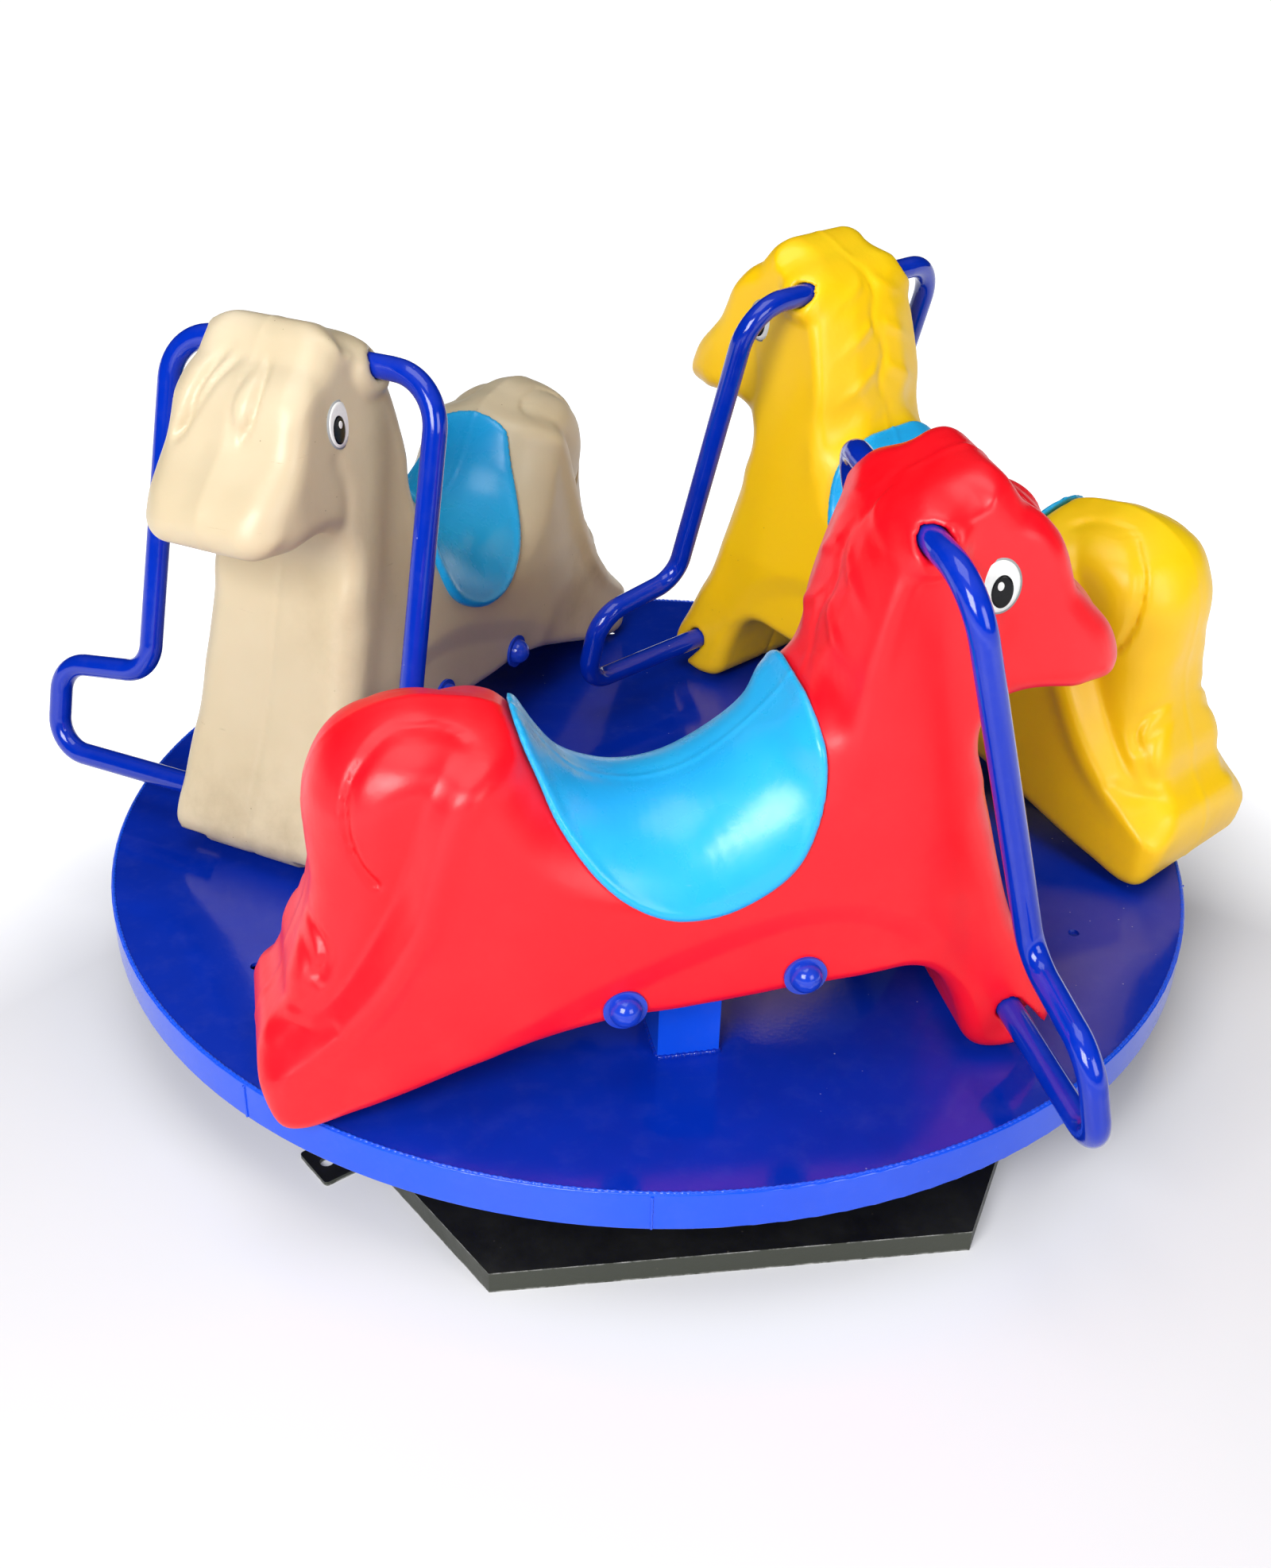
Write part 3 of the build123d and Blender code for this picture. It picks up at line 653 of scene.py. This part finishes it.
def floor_paint(name):
    """A plain pale floor that is brighter away from the object."""
    n = Nodes(name)
    cloud = n.span(n.noise(0.8, 3.0), 0.35, 0.7)
    base = n.mix(cloud, (0.66, 0.66, 0.68, 1), (0.70, 0.70, 0.72, 1))
    moved = n.add("ShaderNodeMapping", Vector=n.place,
                  Location=tuple(-v for v in FLOOR_DIM_AT)).outputs[0]
    away = n.tree.nodes.new("ShaderNodeVectorMath")
    away.operation = "LENGTH"
    n.feed(away.inputs[0], moved)
    glow = n.span(away.outputs["Value"], FLOOR_DIM_RADIUS, FLOOR_FULL_RADIUS, FLOOR_DIM, FLOOR_FULL)
    n.feed(n.shader.inputs["Emission Strength"], glow)
    n.shader.inputs["Emission Color"].default_value = (0.97, 0.98, 1.0, 1)
    return n.finish(base, n.span(cloud, 0, 1, 0.2, 0.26), Specular_IOR_Level=0.3)


MATERIALS = {
    "red_plastic": moulded_plastic("red_plastic", (0.86, 0.001, 0.008), (0.90, 0.006, 0.018),
                                   (0.45, 0.12, 0.1), 0.10, 0.33),
    "yellow_plastic": moulded_plastic("yellow_plastic", (0.96, 0.56, 0.0008), (0.98, 0.66, 0.002),
                                      (0.42, 0.22, 0.04), 0.2, 0.33, 0.5),
    "beige_plastic": moulded_plastic("beige_plastic", (0.58, 0.475, 0.31), (0.70, 0.60, 0.43),
                                     (0.26, 0.19, 0.10), 0.5, 0.33, 0.7),
    "saddle_plastic": moulded_plastic("saddle_plastic", (0.012, 0.36, 0.74), (0.03, 0.46, 0.80),
                                      (0.28, 0.26, 0.24), 0.14, 0.22, 0.1),
    "blue_paint": gloss_paint("blue_paint", (0.0008, 0.026, 0.43), (0.0006, 0.019, 0.33)),
    "rim_paint": gloss_paint("rim_paint", (0.004, 0.085, 0.80), (0.003, 0.065, 0.66), 0.6, 0.2),
    "cap_plastic": gloss_paint("cap_plastic", (0.01, 0.05, 0.55), (0.008, 0.04, 0.45), 0.4, 0.15),
    "black_paint": base_paint("black_paint"),
    "steel": bare_metal("steel", (0.62, 0.62, 0.64)),
    "cage_brass": bare_metal("cage_brass", (0.72, 0.52, 0.22)),
    "rubber": rubber("rubber"),
    "eye_label": print_ink("eye_label", (0.85, 0.85, 0.82), 0.3),
}
EYE_BLACK = print_ink("eye_black", (0.004, 0.004, 0.005), 0.2)
EYE_RING = print_ink("eye_ring", (0.33, 0.34, 0.34), 0.35)
SLOT_OF = {part["node"]: part["material_slot"] for part in frame["record"]["subparts"]}
for node, obj in frame["nodes"].items():
    # The posts have the brighter blue of the rim.
    finish = "rim_paint" if node.endswith("_post") else SLOT_OF[node]
    obj.data.materials.clear()
    obj.data.materials.append(MATERIALS[finish])


# ---- the three horses, their saddles and eyes -------------------------------------------
def outward(points, faces):
    """Turn the faces over if they point inward."""
    a, b, c = (points[faces[:, k]] for k in (0, 1, 2))
    volume = np.einsum("ij,ij->i", a, np.cross(b, c)).sum()
    return faces if volume > 0 else faces[:, ::-1]


EYE_SIDE = float(half_width(np.array([[EYE_AT[0]]]), np.array([[EYE_AT[1]]]))[0, 0])
EYE_PROUD = 1.4
EYE_SKIRT = 0.0045


def oval(centre, half, lift, side, rings=6, around=40, dome=0.0):
    """A thin oval lying on the side of the head, with a skirt that goes into it; millimetres."""
    points = []
    for r in range(rings + 1):
        for k in range(around):
            a = 2 * math.pi * k / around
            f = r / rings
            x = centre[0] + half[0] * f * math.cos(a)
            z = centre[1] + half[1] * f * math.sin(a)
            slope = LEAN_DROP / LEAN_RISE * (z - EYE_AT[1])
            y = EYE_SIDE - slope + EYE_PROUD + lift + dome * (1 - f * f)
            points.append((x * MM, side * y * MM, z * MM))
    faces = []
    for r in range(rings):
        for k in range(around):
            j = (k + 1) % around
            faces.append((r * around + k, r * around + j,
                          (r + 1) * around + j, (r + 1) * around + k))
    edge = len(points)
    for k in range(around):
        x, y, z = points[rings * around + k]
        points.append((x, y - side * EYE_SKIRT, z))
        faces.append((rings * around + k, rings * around + (k + 1) % around,
                      edge + (k + 1) % around, edge + k))
    return points, faces


def eye_pair(name, matrix):
    """Two printed eyes: outline ring, white, pupil and glint, each a mesh of its own."""
    x, z = EYE_AT
    layers = (
        ((x, z), (19.5, 24.5), 0.0, EYE_RING, 0.3),
        ((x, z), (17.7, 22.6), 0.35, MATERIALS["eye_label"], 0.4),
        ((x + 2.5, z - 4.5), (9.6, 14.4), 1.0, EYE_BLACK, 0.5),
        ((x + 0.5, z + 0.5), (2.8, 3.8), 1.8, MATERIALS["eye_label"], 0.2),
    )
    for side, word in ((1, "left"), (-1, "right")):
        first = None
        for i, (centre, half, lift, material, dome) in enumerate(layers):
            points, faces = oval(centre, half, lift, side, dome=dome)
            piece = mesh_object(f"{name}_{word}_eye_{i}", points, faces, material, matrix)
            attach(piece, "platform")
            first = first or piece
        if side == 1:
            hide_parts(name + "_eyes")


def paint(piece, slot, *nodes):
    """Let a piece turn with the platform and hide the CAD nodes it stands for; its slot argument is
    not used.
    """
    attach(piece, "platform")
    if nodes:
        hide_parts(*nodes)
    return piece


horse_points, horse_faces = horse_surface()
horse_points = relax(horse_points, horse_faces) * MM
horse_faces = outward(horse_points, horse_faces)
saddle_points, saddle_faces = saddle_surface()
saddle_points = relax(saddle_points, saddle_faces, 1) * MM
saddle_faces = outward(saddle_points, saddle_faces)
for name in STATIONS:
    matrix = station(name)
    body = mesh_object(name + "_moulding", horse_points, horse_faces,
                       MATERIALS[name + "_plastic"], matrix)
    paint(body, name + "_plastic", name + "_horse")
    seat = mesh_object(name + "_seat_cover", saddle_points, saddle_faces,
                       MATERIALS["saddle_plastic"], matrix)
    paint(seat, "saddle_plastic", name + "_saddle")
    eye_pair(name, matrix)


# ---- weld beads ----------------------------------------------------------------------------
def bead(name, path, radius, material, matrix=None):
    """A weld bead: a thin run whose surface rises and falls like laid metal."""
    rows = []
    for a, b in zip(path, path[1:]):
        a, b = Vector(a), Vector(b)
        count = max(3, int((b - a).length / 0.0016))
        rows += [a.lerp(b, i / count) for i in range(count)]
    points, faces = sweep(rows, 1.0, 8)
    for i, row in enumerate(rows):
        swell = radius * (0.82 + 0.18 * math.sin(i * 1.7) + 0.08 * math.sin(i * 0.61))
        for k in range(8):
            j = i * 8 + k
            points[j] = row + (points[j] - row) * swell
    return mesh_object(name, points, faces, material, matrix)


def weld_beads():
    """Beads at the foot of each post, at the rim's seams and round the deck's edge."""
    px, py = POST_HALF
    x = POST_AT[0]
    corners = [(x - px, -py), (x + px, -py), (x + px, py), (x - px, py), (x - px, -py)]
    path = [(a * MM, b * MM, 0.0005) for a, b in corners]
    for name in STATIONS:
        weld = bead(name + "_post_weld", path, POST_WELD, MATERIALS["blue_paint"], station(name))
        paint(weld, "blue_paint")
    for i, angle in enumerate(RIM_SEAM_ANGLES):
        a = math.radians(angle)
        out = DECK_RADIUS + 0.0002
        path = [(out * math.cos(a), out * math.sin(a), h)
                for h in (RIM_LOW + 0.001, DECK_TOP - 0.001)]
        paint(bead(f"rim_seam_{i}", path, RIM_WELD, MATERIALS["rim_paint"]), "rim_paint")
    turns = [math.radians(t) for t in range(0, 361, 2)]
    ring = [(DECK_WELD_RING * math.cos(t), DECK_WELD_RING * math.sin(t), DECK_TOP - 0.0003)
            for t in turns]
    paint(bead("deck_edge_weld", ring, DECK_WELD, MATERIALS["rim_paint"]), "rim_paint")


weld_beads()


# ---- floor, light and camera ---------------------------------------------------------------
def add_floor():
    """A flat floor in a grid of large squares."""
    size, cells = 30.0, 40
    points, faces = [], []
    for i in range(cells + 1):
        for j in range(cells + 1):
            points.append((size * (i / cells - 0.5), size * (j / cells - 0.5), 0.0))
    for i in range(cells):
        for j in range(cells):
            a = i * (cells + 1) + j
            faces.append((a, a + cells + 1, a + cells + 2, a + 1))
    floor = mesh_object("studio_floor", points, faces, floor_paint("floor_paint"))


def add_light(name, place, target, size, power):
    """A rectangular soft light at a place, turned to its target."""
    lamp = bpy.data.lights.new(name, "AREA")
    lamp.shape = "RECTANGLE"
    lamp.size, lamp.size_y = size
    lamp.energy = power
    obj = bpy.data.objects.new(name, lamp)
    bpy.context.scene.collection.objects.link(obj)
    obj.location = place
    aim = Vector(target) - Vector(place)
    obj.rotation_euler = aim.to_track_quat("-Z", "Y").to_euler()


def add_world():
    """Light from above that fades to the horizon, behind a plain pale backdrop."""
    world = bpy.data.worlds.new("studio")
    bpy.context.scene.world = world
    world.use_nodes = True
    nodes, links = world.node_tree.nodes, world.node_tree.links
    place = nodes.new("ShaderNodeTexCoord")
    split = nodes.new("ShaderNodeSeparateXYZ")
    ramp_node = nodes.new("ShaderNodeValToRGB")
    links.new(place.outputs["Generated"], split.inputs[0])
    links.new(split.outputs["Z"], ramp_node.inputs["Fac"])
    stops = ramp_node.color_ramp
    stops.elements[0].position = 0.5
    stops.elements[0].color = (0.035, 0.04, 0.05, 1)
    stops.elements[1].position = 1.0
    stops.elements[1].color = (1.0, 1.0, 1.0, 1)
    links.new(ramp_node.outputs["Color"], nodes["Background"].inputs["Color"])
    nodes["Background"].inputs["Strength"].default_value = 0.35
    backdrop = nodes.new("ShaderNodeBackground")
    backdrop.inputs["Color"].default_value = (0.97, 0.98, 1.0, 1)
    seen = nodes.new("ShaderNodeLightPath")
    blend = nodes.new("ShaderNodeMixShader")
    links.new(seen.outputs["Is Camera Ray"], blend.inputs["Fac"])
    links.new(nodes["Background"].outputs[0], blend.inputs[1])
    links.new(backdrop.outputs[0], blend.inputs[2])
    links.new(blend.outputs[0], nodes["World Output"].inputs["Surface"])


def add_camera():
    """The camera of the main view; its height and turn were fitted to the deck's outline."""
    camera = bpy.data.cameras.new("camera")
    camera.lens = 40.38
    camera.sensor_width = 36.0
    camera.clip_end = 100.0
    obj = bpy.data.objects.new("camera", camera)
    bpy.context.scene.collection.objects.link(obj)
    yaw, pitch, roll = (math.radians(v) for v in (8.747, 31.244, 1.609))
    forward = Vector((math.sin(yaw) * math.cos(pitch), math.cos(yaw) * math.cos(pitch),
                      -math.sin(pitch)))
    right = Vector((math.cos(yaw), -math.sin(yaw), 0))
    up = right.cross(forward)
    side = right * math.cos(roll) + up * math.sin(roll)
    top = up * math.cos(roll) - right * math.sin(roll)
    matrix = Matrix((side, top, -forward)).transposed().to_4x4()
    matrix.translation = (-0.2772, -1.6909, 1.22184)
    obj.matrix_world = matrix
    bpy.context.scene.camera = obj


add_floor()
add_world()
add_light("key", (-1.5, -2.6, 2.0), (0, -0.1, 0.3), (1.5, 1.5), 108)
add_light("fill", (1.6, -2.8, 1.6), (0.1, 0, 0.3), (1.4, 1.4), 34)
add_light("top", (-0.4, -0.5, 3.4), (0, 0, 0.3), (2.0, 2.0), 36)
add_camera()
bpy.context.scene.view_settings.view_transform = "Standard"
